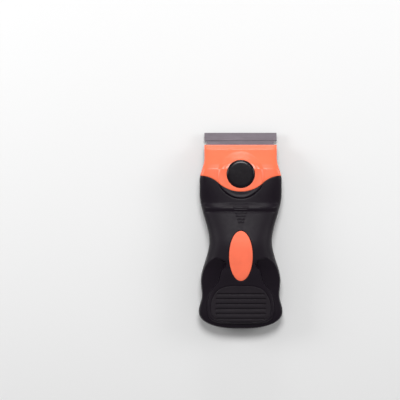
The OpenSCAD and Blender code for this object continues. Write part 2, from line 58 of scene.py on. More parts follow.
# Camera: straight down, with the object as large and as far off the middle as in the photograph
PHOTO_SIZE = 400
PIXEL = 0.5394
MIDDLE_PX = (240.6, 230.65)
SCALE_Z, LENS, SENSOR = 7.0, 250.0, 36.0


def add_camera():
    """A pixel of the picture is PIXEL wide at the height SCALE_Z."""
    data = bpy.data.cameras.new("camera")
    data.lens = LENS
    data.sensor_width = SENSOR
    camera = bpy.data.objects.new("camera", data)
    x = (PHOTO_SIZE / 2 - MIDDLE_PX[0]) * PIXEL
    y = (MIDDLE_PX[1] - PHOTO_SIZE / 2) * PIXEL
    camera.location = Vector((x, y, SCALE_Z + PHOTO_SIZE * PIXEL * LENS / SENSOR)) * MM
    bpy.context.scene.collection.objects.link(camera)
    bpy.context.scene.camera = camera


add_camera()


# Sizes that the CAD source has too; only LOBE_AT differs, by 0.35, read again from the photograph
BODY_L = 99.2
HEAD_W, SHOULDER_W, WAIST_W, HIP_W, PINCH_W, TAIL_W = 39.1, 44.2, 33.7, 43.0, 41.8, 45.2
WAIST_SHARE, HIP_SHARE, PINCH_SHARE, TAIL_SHARE, OVAL_SHARE = 0.307, 0.621, 0.732, 0.86, 0.418
WALL, COVER_SHARE, LIP_T = 2.0, 0.85, 1.7
JOINT_Z, LINE_RISE, DRAFT, HEEL_AT, HEEL_Z = 7.0, 0.3, 0.8, 6, 1.2
LIP_Z, BEVEL_L, BEVEL_Z = 5.6, 2.6, 8.4
CREASE_AT, CREASE_Z, CREASE_L, HEAD_Z = 10.4, 12.2, 2.6, 13.2
FLARE_AT, SHOULDER_AT, SHOULDER_L = 7.4, 19.0, 7.2
RIDGE_AT, RIDGE_L, RIDGE_Z = 31.4, 1.4, 15.4
GROOVE_AT, GROOVE_L = 34.7, 1.8
CROWN_Z, TAIL_Z, FLANK_Z, FLANK_SPREAD, BACK_R = 19.0, 14.2, 11.8, 3.0, 2.6
HEAD_POWER, HANDLE_POWER, END_POWER, END_HEIGHT_POWER = 7.0, 3.0, 2.3, 3.0
LOBE_AT, LOBE_R, SWEEP_R, WAVE_SLOPE, WAVE_GAP = 25.25, 17.8, 14.0, 43.0, 0.12
BUTTON_D, BUTTON_AT, BUTTON_Z, BUTTON_GAP = 15.1, 15.8, 14.6, 0.08
FLANGE_W, FLANGE_T, FLANGE_GAP = 0.8, 0.9, 0.3
RING_R, RING_BACK, RING_H, RING_FRONT_H = 12.0, 1.2, 0.7, 1.2
BLADE_W, BLADE_H, LEAF_T, SPINE_T, SPINE_H = 39.0, 19.05, 0.25, 1.1, 4.3
TILT, BLADE_OUT, EDGE_Z, SLOT_H, LEAF_GAP = math.radians(12), 6.6, 1.4, 1.28, 0.05
PIN_AT, PIN_Z, PIN_D, JAW_W = 9.2, 7.1, 1.6, 31.0
SPRING_D, WIRE_D, SPRING_FOOT, SPRING_TOP = 5.0, 0.6, 2.0, 7.2
WELL_X, WELL_STEP_Z = 5.5, 5.7
OVAL_L, OVAL_W, INLAY_RISE = 26.9, 12.7, 0.2
GROOVE_N, GROOVE_STEP, PAD_GROOVE_R, PAD_GROOVE_W = 6, 2.65, 0.55, 27.0
RIB_N, RIB_STEP, RIB_L = 6, 1.6, 8.6
SCREW_HEAD_D, HEAD_SCREW_X, HEAD_SCREW_AT, TAIL_SCREW_X = 4.6, 14.5, 15.6, 12.5

# Places that follow from the sizes
LIP_Y = (BODY_L - BLADE_OUT) / 2
HANDLE_L = BODY_L - RIDGE_AT
CREASE_END = CREASE_AT + CREASE_L
SHOULDER_END = SHOULDER_AT + SHOULDER_L
GROOVE_END = GROOVE_AT + GROOVE_L


def handle_at(share):
    """The place of a share of the handle's length."""
    return RIDGE_AT + share * HANDLE_L


TAIL_AT = handle_at(TAIL_SHARE)
OVAL_Y = LIP_Y - handle_at(OVAL_SHARE)
EDGE_Y = LIP_Y + BLADE_OUT - SPINE_T / 2 * (1 - math.cos(TILT))
SLOT_TOP = SLOT_H - LEAF_T / 2 - LEAF_GAP
BUTTON_Y = LIP_Y - BUTTON_AT
RING_Y = BUTTON_Y - RING_BACK
COVER_T = COVER_SHARE * WALL
CEILING_Z = HEAD_Z - COVER_T
FLANGE_R = BUTTON_D / 2 + FLANGE_W
FLANGE_FRONT = FLANGE_R / 3
JAW_X = JAW_W / 2 + WALL / 4
HEAD_SCREW_Y = LIP_Y - HEAD_SCREW_AT
TAIL_SCREW_Y = LIP_Y - TAIL_AT + SCREW_HEAD_D
BLADE_FRAME = (Matrix.Translation((0, EDGE_Y, EDGE_Z)) @ Matrix.Rotation(-TILT, 4, "X")
               @ Matrix.Diagonal((1, -1, 1, 1)))

# Sizes of the scene's own finer forms, fitted to the photograph's shading
CREASE_LIFT, RIDGE_FOOT, RIDGE_SPREAD = 0.15, 0.1, 1.6
GROOVE_BED, GROOVE_DEPTH, GROOVE_RUN = 1.5, 0.5, 0.3
SOFTEN, SOFTEN_TAIL, SOFTEN_N, SHARPER, SHARPER_L = 0.5, 1.6, 9, 0.6, 0.6
RING_OUT, RING_OUT_FRONT, RING_OUT_SIDE = 1.01, 0.15, 0.04
RING_IN, RING_IN_FRONT, RING_IN_REAR, RING_IN_SIDE = 0.865, 0.125, 0.09, 0.065
RING_LIP_H, RING_LIP_FROM, RING_LIP_TO = 0.13, 2.4, 0.7
RING_FOOT_H, RING_FOOT_AT, RING_FOOT_L = 0.06, 0.1, 0.26
BEAD_H, BEAD_FADE, BEAD_AT, BEAD_L = 0.12, 0.85, 0.9, 0.6
SEAM_H, SEAM_L, SEAM_PAST = 0.2, 0.3, 0.03
RIB_R, RIB_H, RIB_LOSS, RIB_END = 0.45, 0.32, 0.16, 0.6
FLANK_IN, FLANK_OUT = -0.15, 0.75
RECESS_EDGE_H, RECESS_EDGE_L, RECESS_H, RECESS_L = 0.3, 0.22, 0.4, 0.5
BRINK_AT, BRINK_FALL, TAIL_STARTS = 63.2, 0.19, 66.6

# Gaps of the scene's own; the CAD has 0 between the shells and 0.02 round the pin
SEAM, PIN_GAP = 0.12, 0.03

# How far lines and tools reach past the body
AHEAD, PAST, BELOW, REACH = 5, 2, -1, 60.0


# Curves along the body
def ease(u):
    return u * u * (3 - 2 * u)


def smooth(a, b, x):
    """0 before a, 1 after b, and a smooth step between them."""
    return ease(np.clip((x - a) / (b - a), 0, 1))


def eased(t, stops):
    """A smooth step from each stop to the next."""
    xs, ys = np.array(stops, float).T
    i = np.clip(np.searchsorted(xs, t) - 1, 0, len(xs) - 2)
    u = np.clip((t - xs[i]) / (xs[i + 1] - xs[i]), 0, 1)
    return ys[i] + (ys[i + 1] - ys[i]) * ease(u)


def curved(t, stops):
    """A smooth curve through the stops that doesn't level out at each."""
    xs, ys = np.array(stops, float).T
    n = len(xs)
    low, high = np.maximum(np.arange(n) - 1, 0), np.minimum(np.arange(n) + 1, n - 1)
    slope = (ys[high] - ys[low]) / (xs[high] - xs[low])
    i = np.clip(np.searchsorted(xs, t) - 1, 0, n - 2)
    length = xs[i + 1] - xs[i]
    u = (t - xs[i]) / length
    return (ys[i] + (ys[i + 1] - ys[i]) * ease(u)
            + length * u * (1 - u) * (slope[i] * (1 - u) - slope[i + 1] * u))


PLAN = [(FLARE_AT, HEAD_W / 2), (SHOULDER_AT, SHOULDER_W / 2), (SHOULDER_END, SHOULDER_W / 2),
        (handle_at(WAIST_SHARE), WAIST_W / 2), (handle_at(HIP_SHARE), HIP_W / 2),
        (handle_at(PINCH_SHARE), PINCH_W / 2), (TAIL_AT, TAIL_W / 2)]
LAST_SHARE = 0.999


def end_share(t, power):
    """How much of a size is left at the rounded tail, 1 before it."""
    u = LAST_SHARE * np.clip((t - TAIL_AT) / (BODY_L - TAIL_AT), 0, 1)
    return (1 - u ** power) ** (1 / power)


def half_w(t):
    return eased(t, PLAN) * end_share(t, END_POWER)


SPINE_START = GROOVE_END + GROOVE_RUN
HEAD_LINE = np.array([
    (-AHEAD, LIP_Z), (0, LIP_Z), (BEVEL_L, BEVEL_Z), (CREASE_AT, CREASE_Z + CREASE_LIFT),
    (CREASE_END, HEAD_Z), (RIDGE_AT + RIDGE_FOOT, HEAD_Z),
    (RIDGE_AT + RIDGE_SPREAD * RIDGE_L, RIDGE_Z), (GROOVE_AT, RIDGE_Z),
    (GROOVE_AT + GROOVE_BED, RIDGE_Z - GROOVE_DEPTH), (SPINE_START, RIDGE_Z)])

# shares of the handle's length, each with a share of the crown's height over the tail or flank
SPINE_SHARES = [(0.19, 0.6), (0.307, 1), (0.42, 0.95), (0.54, 0.68), (0.66, 0.34), (0.78, 0.12)]
FLANK_SHARES = [(0.33, 1.4), (0.405, 1), (0.44, 0.8), (0.49, 0.5), (0.53, 0.32), (0.62, 0.14),
                (0.75, 0.04), (1, 0)]
SPINE_LINE = ([(SPINE_START, RIDGE_Z)]
              + [(handle_at(a), TAIL_Z + b * (CROWN_Z - TAIL_Z)) for a, b in SPINE_SHARES]
              + [(TAIL_AT, TAIL_Z), (BODY_L, TAIL_Z)])
FLANK_LINE = [(handle_at(a), FLANK_Z + b * (CROWN_Z - FLANK_Z)) for a, b in FLANK_SHARES]


def sharp_spine(t):
    return np.where(t < SPINE_START, np.interp(t, *HEAD_LINE.T),
                    curved(np.maximum(t, SPINE_START), SPINE_LINE))


def spine_z(t):
    """Height of the front along the middle, with its creases a little rounded."""
    weights = np.exp(-np.linspace(-SOFTEN_TAIL, SOFTEN_TAIL, SOFTEN_N) ** 2)
    weights /= weights.sum()
    reach = SOFTEN * (1 - SHARPER * np.exp(-((t - RIDGE_AT) / SHARPER_L) ** 2))
    shifts = np.linspace(-1, 1, SOFTEN_N)
    return sum(w * sharp_spine(np.minimum(t + s * reach, BODY_L)) for w, s in zip(weights, shifts))


def slot_z(y, off):
    """Height of a line that lies off the blade's middle, along the tilted slot."""
    return EDGE_Z + (EDGE_Y - y) * math.tan(TILT) + off / math.cos(TILT)


def widest_at(t):
    """Height at which the section is widest."""
    return np.minimum(JOINT_Z, slot_z(LIP_Y - t, SLOT_TOP)) + LINE_RISE


def power_at(t):
    """How square the section's shoulders are: more on the head than on the handle."""
    return eased(t, [(CREASE_END, HEAD_POWER), (RIDGE_AT, HANDLE_POWER), (BODY_L, HANDLE_POWER)])


def base_front(x, t):
    """Height of the plain front surface."""
    m, p = widest_at(t), power_at(t)
    side = np.minimum(1, np.abs(x) / np.maximum(half_w(t), 1e-6)) ** p
    return m + (spine_z(t) - m) * end_share(t, END_HEIGHT_POWER) * (1 - side) ** (1 / p)


# Outlines on the front
def catmull(points, n):
    """A smooth line through points, with n steps between each two."""
    pts = np.array(points, float)
    last = len(pts) - 1
    out = []
    for i in range(last):
        a, b, c, d = pts[max(0, i - 1)], pts[i], pts[i + 1], pts[min(last, i + 2)]
        for k in range(n):
            u = k / n
            out.append((2 * b + (c - a) * u + (2 * a - 5 * b + 4 * c - d) * u * u
                        + (3 * b - a - 3 * c + d) * u ** 3) / 2)
    out.append(pts[last])
    return np.array(out)


def on_plan(share):
    """X and Y of a share of the tail's half width and a share of the handle's length."""
    return share[0] * TAIL_W / 2, LIP_Y - handle_at(share[1])


def both_sides(points):
    pts = np.array(points, float)
    return np.concatenate([pts, pts[::-1] * [-1, 1]])


UPPER = [(0.72, 0.405), (0.52, 0.436), (0.375, 0.458), (0.335, 0.485), (0.38, 0.51), (0.44, 0.53),
         (0.475, 0.57), (0.505, 0.613), (0.58, 0.653), (0.675, 0.693), (0.745, 0.745),
         (0.785, 0.81), (0.78, 0.87), (0.71, 0.918), (0.53, 0.945), (0.2, 0.953)]
PAD = [(0.16, 0.655), (0.34, 0.662), (0.5, 0.682), (0.615, 0.722), (0.685, 0.772), (0.715, 0.83),
       (0.695, 0.88), (0.61, 0.918), (0.42, 0.937), (0.16, 0.942)]
CURVE_N, WAVE_N = 8, 24
upper_side = catmull([on_plan(s) for s in UPPER], CURVE_N)
UPPER_OUTLINE = both_sides(np.concatenate([
    [(REACH, upper_side[0][1] + REACH), (REACH, upper_side[0][1])], upper_side]))
PAD_OUTLINE = both_sides(catmull([on_plan(s) for s in PAD], CURVE_N))


def signed_distance(x, y, outline):
    """Distance to a closed outline, negative inside it."""
    p = np.stack([x.ravel(), y.ravel()], 1)
    best = np.full(len(p), 1e9)
    inside = np.zeros(len(p), bool)
    for a, b in zip(outline, np.roll(outline, -1, axis=0)):
        d = b - a
        if not d.any():
            continue
        u = np.clip(((p - a) @ d) / (d @ d), 0, 1)
        best = np.minimum(best, np.hypot(*(p - a - u[:, None] * d).T))
        crosses = (a[1] > p[:, 1]) != (b[1] > p[:, 1])
        if d[1]:
            inside ^= crosses & (p[:, 0] < a[0] + (p[:, 1] - a[1]) * d[0] / d[1])
    return np.where(inside, -best, best).reshape(x.shape)


def arc(centre, r, a, b, n):
    """Points on an arc between two angles in degrees."""
    angles = np.radians(np.linspace(a, b, n + 1))
    return np.stack([centre[0] + r * np.cos(angles), centre[1] + r * np.sin(angles)], 1)


def head_outline(gap):
    """Plan of the head in front of the wavy line, drawn in by a gap."""
    lobe_c = np.array([0, LIP_Y - LOBE_AT + LOBE_R])
    slope = math.radians(WAVE_SLOPE)
    sweep_c = lobe_c + (LOBE_R + SWEEP_R) * np.array([math.sin(slope), -math.cos(slope)])
    lobe = arc(lobe_c, LOBE_R - gap, -90, WAVE_SLOPE - 90, WAVE_N)
    sweep = arc(sweep_c, SWEEP_R + gap, 90 + WAVE_SLOPE, 90, WAVE_N)
    side = np.concatenate([[(REACH, LIP_Y + AHEAD), (REACH, sweep_c[1] + SWEEP_R + gap)],
                           sweep[::-1], lobe[::-1][1:-1]])
    return np.concatenate([side, [(0, LIP_Y - LOBE_AT + gap)], side[::-1] * [-1, 1]])


# The front's detail
def oval_distance(x, y):
    """Roughly the distance to the oval's edge, negative inside it."""
    u, v = x / (OVAL_W / 2), (y - OVAL_Y) / (OVAL_L / 2)
    r = np.hypot(u, v) + 1e-9
    return (r - 1) * r / np.hypot(u / (OVAL_W / 2), v / (OVAL_L / 2))


def ring_rise(x, y):
    """The raised ring round the button: steep at sides and rear, a long slope in front."""
    r = np.hypot(x, y - RING_Y) + 1e-9
    front = np.clip((y - RING_Y) / r, 0, 1) ** 2
    rear = smooth(0.0, -0.6, (y - RING_Y) / r)
    side = smooth(0.6, 1.0, np.abs(x) / r)
    outer = RING_R * (RING_OUT + RING_OUT_FRONT * front + RING_OUT_SIDE * side)
    inner = RING_R * (RING_IN - RING_IN_FRONT * front + RING_IN_REAR * rear + RING_IN_SIDE * side)
    lip = RING_LIP_H * rear * smooth(outer - RING_LIP_FROM, outer - RING_LIP_TO, r)
    rise = (RING_H + RING_FRONT_H * front + lip) * smooth(0, 1, (outer - r) / (outer - inner))
    collar = np.hypot(x, y - BUTTON_Y) - BUTTON_D / 2
    bead = BEAD_H * (1 - BEAD_FADE * rear) * np.exp(-((collar - BEAD_AT) / BEAD_L) ** 2)
    foot = RING_FOOT_H * rear * np.exp(-((r - outer - RING_FOOT_AT) / RING_FOOT_L) ** 2)
    return rise + bead - foot


def recessed(z, distance):
    """Lowers a surface where a plate lies in it, with a fine groove along the plate's edge."""
    return (z - RECESS_EDGE_H * np.exp(-(distance / RECESS_EDGE_L) ** 2)
            - RECESS_H * smooth(0, -RECESS_L, distance))


def ribbed(x, z, t):
    """Adds the thumb ribs, which get shorter towards the tail; the first ones are lower."""
    for i in range(RIB_N):
        rib_t = RIDGE_AT + RIDGE_L + RIB_STEP * (i + 0.5)
        half = RIB_L * (1 - i / (RIB_N + 2)) / 2
        round_top = np.sqrt(np.maximum(0, 1 - ((t - rib_t) / RIB_R) ** 2))
        height = RIB_H - RIB_LOSS * math.exp(-i)
        z = z + height * round_top * smooth(0, RIB_END, half - np.abs(x))
    return z


def flanked(x, y, z, t):
    """Lowers the surface to the flanks outside the upper level's outline."""
    upper = signed_distance(x, y, UPPER_OUTLINE)
    floor_z = curved(np.maximum(t, FLANK_LINE[0][0]), FLANK_LINE) - FLANK_SPREAD
    m, p = widest_at(t), power_at(t)
    side = np.minimum(1, np.abs(x) / (half_w(t) + FLANK_SPREAD)) ** p
    height = (floor_z - m) * end_share(t, END_HEIGHT_POWER) + FLANK_SPREAD
    floor_surface = m + height * (1 - side) ** (1 / p)
    outside = smooth(FLANK_IN, FLANK_OUT, upper) * (t > FLANK_LINE[1][0] - 1)
    return z - np.maximum(0, z - floor_surface) * outside


def detail(x, y, z, t):
    """The front's surface with its ring, seam, ribs, flanks and recesses."""
    z = z + ring_rise(x, y)
    seam = signed_distance(x, y, head_outline(0.0))
    z = z - SEAM_H * np.exp(-(np.minimum(seam, 0) / SEAM_L) ** 2) * (seam < SEAM_PAST)
    z = flanked(x, y, ribbed(x, z, t), t)
    z = recessed(z, oval_distance(x, y))
    return recessed(z, signed_distance(x, y, PAD_OUTLINE))


# Meshes
SHARP_ANGLE = 32.0


def mesh_object(name, verts, faces):
    mesh = bpy.data.meshes.new(name)
    mesh.from_pydata([tuple(v) for v in np.asarray(verts) * MM], [], [tuple(f) for f in faces])
    mesh.validate()
    mesh.update()
    obj = bpy.data.objects.new(name, mesh)
    bpy.context.scene.collection.objects.link(obj)
    return obj


def smooth_shade(obj):
    mesh = obj.data
    mesh.polygons.foreach_set("use_smooth", [True] * len(mesh.polygons))
    mesh.set_sharp_from_angle(angle=math.radians(SHARP_ANGLE))
    mesh.update()


def grid_faces(rows, cols, closed):
    """Quads between rows of points; closed joins each row's ends."""
    across = np.arange(cols if closed else cols - 1)
    r, c = np.meshgrid(np.arange(rows - 1), across, indexing="ij")
    n = (c + 1) % cols
    corners = [r * cols + c, r * cols + n, (r + 1) * cols + n, (r + 1) * cols + c]
    return np.stack(corners, -1).reshape(-1, 4)


def prism(name, outline, low, high):
    """A closed solid from an outline in X and Y, between two heights."""
    n = len(outline)
    verts = [(x, y, low) for x, y in outline] + [(x, y, high) for x, y in outline]
    area = sum(a[0] * b[1] - b[0] * a[1] for a, b in zip(outline, np.roll(outline, -1, axis=0)))
    order = list(range(n)) if area > 0 else list(range(n))[::-1]
    faces = [order[::-1], [i + n for i in order]]
    faces += [(a, b, b + n, a + n) for a, b in zip(order, order[1:] + order[:1])]
    return mesh_object(name, verts, faces)


def turned(name, outline, matrix, low, high):
    """A prism whose outline lies in another plane, given by a matrix."""
    obj = prism(name, outline, low, high)
    place_at = matrix.copy()
    place_at.translation *= MM
    obj.data.transform(place_at)
    if matrix.determinant() < 0:
        obj.data.flip_normals()
    return obj


# local X and Y of a side view are the world's Y and Z, and its height is the world's X
SIDE_VIEW = Matrix(((0, 0, 1, 0), (1, 0, 0, 0), (0, 1, 0, 0), (0, 0, 0, 1)))


def circle(x, y, r, n):
    angles = np.linspace(0, 2 * math.pi, n, endpoint=False)
    return np.stack([x + r * np.cos(angles), y + r * np.sin(angles)], 1)


def box(x0, y0, x1, y1):
    return [(x0, y0), (x1, y0), (x1, y1), (x0, y1)]


def cut(obj, tool, operation="DIFFERENCE"):
    """Applies one boolean with a tool, which is then removed."""
    modifier = obj.modifiers.new("cut", "BOOLEAN")
    modifier.operation = operation
    modifier.solver = "MANIFOLD"
    modifier.object = tool
    bpy.context.view_layer.update()
    evaluated = obj.evaluated_get(bpy.context.evaluated_depsgraph_get())
    result = bpy.data.meshes.new_from_object(evaluated)
    obj.modifiers.clear()
    old = obj.data
    obj.data = result
    bpy.data.meshes.remove(old)
    bpy.data.objects.remove(tool)
    if not len(result.polygons):
        raise RuntimeError(f"{obj.name} is empty after a cut")


# The dense body
TOP_N, SIDE_N, BACK_N, CORNER_N = 100, 22, 16, 12
FLAT_N, EDGE_N, EDGE_SHARE = 200, 300, 0.1
DENSE_ROWS, DENSE_STEP, ROW_STEP, END_ROWS = [(0, 3.4), (9.6, 13.6), (30.6, 43.0)], 0.15, 0.26, 46
DETAIL_RISE = 1.2


def resample(x, z, n):
    """The same line with n points at equal distances."""
    length = np.concatenate([[0], np.cumsum(np.hypot(np.diff(x), np.diff(z)))])
    at = np.linspace(0, length[-1], n)
    return np.interp(at, length, x), np.interp(at, length, z)


def body_ring(t):
    """One half of a section, from the front's middle round the side to the back's middle."""
    w, m, p = half_w(t), widest_at(t), power_at(t)
    h = end_share(t, END_HEIGHT_POWER)
    flat = np.linspace(0, 1 - EDGE_SHARE, FLAT_N)
    fine = np.concatenate([flat, 1 - EDGE_SHARE * (1 - np.linspace(0, 1, EDGE_N)[1:]) ** 3])
    top = (spine_z(t) - m) * h * (1 - fine ** p) ** (1 / p)
    x, z = resample(fine * w, m + top, TOP_N)
    heel = max(0.0, HEEL_Z * (1 - t / HEEL_AT))
    b = (m - heel) * h
    r, d = min(BACK_R, b / 2, w / 2), min(DRAFT, w / 4)
    angles = np.radians(np.linspace(0, 90, CORNER_N))
    side_x = np.concatenate([[w], w - d - r + r * np.cos(angles)])
    side_z = np.concatenate([[m], m - b + r - r * np.sin(angles)])
    sx, sz = resample(side_x, side_z, SIDE_N)
    bx = np.linspace(side_x[-1], 0, BACK_N)[1:]
    return (np.concatenate([x, sx[1:], bx]),
            np.concatenate([z, sz[1:], np.full(len(bx), side_z[-1])]))


def body_rows():
    """Places of the sections, closer together where the shape turns."""
    rows = [0.0]
    while rows[-1] < TAIL_AT:
        turns = any(a <= rows[-1] <= b for a, b in DENSE_ROWS)
        rows.append(rows[-1] + (DENSE_STEP if turns else ROW_STEP))
    end = TAIL_AT + (BODY_L - TAIL_AT) * np.sin(np.linspace(0, math.pi / 2, END_ROWS))
    return np.concatenate([rows[:-1], end])


def dense_body(name):
    """The whole body as one closed mesh of sections, with the detail on its front."""
    rows = body_rows()
    verts = []
    for t in rows:
        x, z = body_ring(float(t))
        ring_x = np.concatenate([x, -x[-2:0:-1]])
        ring_z = np.concatenate([z, z[-2:0:-1]])
        verts.append(np.stack([ring_x, np.full(len(ring_x), LIP_Y - t), ring_z], 1))
    verts = np.array(verts)
    n = verts.shape[1]
    columns = np.arange(n)
    on_front = (columns < TOP_N) | (columns > n - TOP_N)
    face = verts[:, on_front]
    t_all = LIP_Y - face[..., 1]
    moved = detail(face[..., 0], face[..., 1], face[..., 2], t_all)
    fade = smooth(0.0, DETAIL_RISE, face[..., 2] - widest_at(t_all))
    face[..., 2] += (moved - face[..., 2]) * fade
    verts[:, on_front] = face
    faces = [tuple(f) for f in grid_faces(len(rows), n, True)]
    faces.append(tuple(range(n))[::-1])
    faces.append(tuple(range((len(rows) - 1) * n, len(rows) * n)))
    return mesh_object(name, verts.reshape(-1, 3), faces)


# Tools that cut the body
HOLE_N, HEAD_HOLE_N, BORE_N, ROOM_N = 32, 48, 128, 73
SCREW_BORE_R, SCREW_BORE_END, HEAD_HOLE_GAP, HEAD_HOLE_END = 1.35, 10.95, 0.15, 2.4
SLOT_OVER, RECESS_DROP = 0.6, 0.2


def above_joint(lift):
    """The space over the shells' joint, lifted by a gap."""
    bend = EDGE_Y - (JOINT_Z - EDGE_Z - SLOT_TOP / math.cos(TILT)) / math.tan(TILT)
    front_y, tail_y = LIP_Y + PAST, LIP_Y - BODY_L - PAST
    outline = np.array([(front_y, slot_z(front_y, SLOT_TOP) + lift), (bend, JOINT_Z + lift),
                        (tail_y, JOINT_Z + lift), (tail_y, REACH), (front_y, REACH)])
    return turned("upper", outline, SIDE_VIEW, -REACH, REACH)


def head_plan(gap):
    return prism("head_plan", head_outline(gap), BELOW, REACH)


def jaw_room():
    """The hollow under the head's wedge, where the lever's jaw moves."""
    back_y = BUTTON_Y + FLANGE_FRONT
    outline = [(LIP_Y - LIP_T, 0), (LIP_Y - LIP_T, BEVEL_Z - COVER_T),
               (LIP_Y - BEVEL_L, BEVEL_Z - COVER_T), (LIP_Y - CREASE_AT, CREASE_Z - COVER_T),
               (LIP_Y - CREASE_END, CEILING_Z), (back_y, CEILING_Z), (back_y, 0)]
    return turned("jaw_room", outline, SIDE_VIEW, -JAW_X, JAW_X)


def button_room():
    """Part of a round room: the flange reaches only a third of the way forward."""
    r = FLANGE_R + FLANGE_GAP
    a = math.asin((FLANGE_FRONT + FLANGE_GAP) / r)
    angles = np.linspace(math.pi - a, 2 * math.pi + a, ROOM_N)
    outline = np.stack([r * np.cos(angles), BUTTON_Y + r * np.sin(angles)], 1)
    return prism("button_room", outline, BELOW, CEILING_Z)


def pin_bore():
    outline = circle(LIP_Y - PIN_AT, PIN_Z, PIN_D / 2 + PIN_GAP, HOLE_N)
    return turned("pin_bore", outline, SIDE_VIEW, -REACH, REACH)


def blade_box(name, near, low, high):
    """A box in the blade's tilted frame, from a distance behind its edge to behind its back."""
    end = 2 * LEAF_GAP
    half = BLADE_W / 2 + end
    return turned(name, box(-half, near, half, BLADE_H + end), BLADE_FRAME, low, high)


def blade_space():
    return blade_box("blade_space", -SLOT_OVER, -LEAF_T / 2 - LEAF_GAP, SLOT_H + SLOT_OVER)


def spine_recess():
    """Room for the spine's lower half under the slot's bed."""
    low = -LEAF_T / 2 - (SPINE_T - LEAF_T) / 2 - LEAF_GAP
    near = BLADE_H - SPINE_H - 2 * LEAF_GAP
    return blade_box("spine_recess", near, low, SLOT_H - RECESS_DROP)


def screw_holes(obj, x, y):
    """Two bores with their counterbores, from the back."""
    head_r = SCREW_HEAD_D / 2 + HEAD_HOLE_GAP
    for side in (-1, 1):
        for r, high, n in ((SCREW_BORE_R, SCREW_BORE_END, HOLE_N), (head_r, HEAD_HOLE_END, HEAD_HOLE_N)):
            cut(obj, prism("hole", circle(side * x, y, r, n), BELOW, high))


# Pieces of the body
TEXTURE_OUT, TEXTURE_IN, TAIL_FADE, BRINK_FADE, GROOVE_FADE = 0.25, -0.15, 0.4, 0.2, 0.3
SIDE_FADE_LOW, SIDE_FADE_HIGH = 1.0, 2.0
PIECES = {}


def copy_of(obj, name):
    new = bpy.data.objects.new(name, obj.data.copy())
    bpy.context.scene.collection.objects.link(new)
    return new


def finish_piece(obj, body, slot, *nodes):
    smooth_shade(obj)
    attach(obj, body)
    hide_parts(*nodes)
    PIECES[obj] = slot


def mark_texture(obj):
    """Marks where the front is finely textured: from the groove to the brink, and on the tail."""
    mesh = obj.data
    flat = np.empty(len(mesh.vertices) * 3)
    mesh.vertices.foreach_get("co", flat)
    x, y, z = flat.reshape(-1, 3).T / MM
    t = LIP_Y - y
    brink = BRINK_AT - BRINK_FALL * np.abs(x)
    level = smooth(TEXTURE_OUT, TEXTURE_IN, signed_distance(x, y, UPPER_OUTLINE))
    level = level * smooth(TAIL_STARTS - TAIL_FADE, TAIL_STARTS, t)
    level = np.maximum(level, smooth(brink + BRINK_FADE, brink - BRINK_FADE, t))
    level = level * smooth(GROOVE_END - GROOVE_FADE, GROOVE_END + GROOVE_FADE, t)
    level = level * smooth(SIDE_FADE_LOW, SIDE_FADE_HIGH, z - widest_at(t))
    mark = mesh.attributes.new("textured", "FLOAT", "POINT")
    mark.data.foreach_set("value", level)


stock = dense_body("shell_stock")
head = copy_of(stock, "head_moulding")
front = copy_of(stock, "front_moulding")
back = copy_of(stock, "back_moulding")
bpy.data.objects.remove(stock)

cut(head, above_joint(0.0), "INTERSECT")
cut(head, head_plan(WAVE_GAP / 2), "INTERSECT")
cut(head, jaw_room())
cut(head, button_room())
bore = circle(0, BUTTON_Y, BUTTON_D / 2 + BUTTON_GAP, BORE_N)
cut(head, prism("bore", bore, BELOW, REACH))
cut(head, pin_bore())
screw_holes(head, HEAD_SCREW_X, HEAD_SCREW_Y)
finish_piece(head, "housing", "orange_plastic", "head_cover")

cut(front, above_joint(SEAM / 2), "INTERSECT")
cut(front, head_plan(-WAVE_GAP / 2))
screw_holes(front, TAIL_SCREW_X, TAIL_SCREW_Y)
mark_texture(front)
finish_piece(front, "housing", "black_plastic", "front_shell")

cut(back, above_joint(-SEAM / 2))
cut(back, blade_space())
cut(back, spine_recess())
spring_well = box(-WELL_X, BUTTON_Y - SPRING_D, WELL_X, BUTTON_Y + SPRING_D / 2)
lever_well = box(-WELL_X, BUTTON_Y, WELL_X, BUTTON_Y + 2 * SPRING_D)
cut(back, prism("well", spring_well, SPRING_FOOT, REACH))
cut(back, prism("step", lever_well, WELL_STEP_Z, REACH))
screw_holes(back, HEAD_SCREW_X, HEAD_SCREW_Y)
screw_holes(back, TAIL_SCREW_X, TAIL_SCREW_Y)
finish_piece(back, "housing", "black_plastic", "back_shell")


# Oval inlay
INLAY_T = 1.0
OVAL_AROUND, OVAL_RINGS, OVAL_SPACING, OVAL_GAP = 128, 40, 0.9, 0.06
OVAL_EDGE_H, OVAL_EDGE_FROM, OVAL_EDGE_POWER = 0.22, 0.93, 1.5


def shell_patch(name, points, faces, rim, rise):
    """A closed piece that follows the front: a top skin, a bottom skin and a wall at the rim."""
    x, y = points.T
    base = base_front(x, LIP_Y - y)
    top = np.stack([x, y, base + rise], 1)
    bottom = np.stack([x, y, base - INLAY_T], 1)
    n = len(points)
    all_faces = [tuple(f) for f in faces] + [tuple(i + n for i in reversed(f)) for f in faces]
    all_faces += [(b, a, a + n, b + n) for a, b in zip(rim, np.roll(rim, -1))]
    return mesh_object(name, np.concatenate([top, bottom]), all_faces)


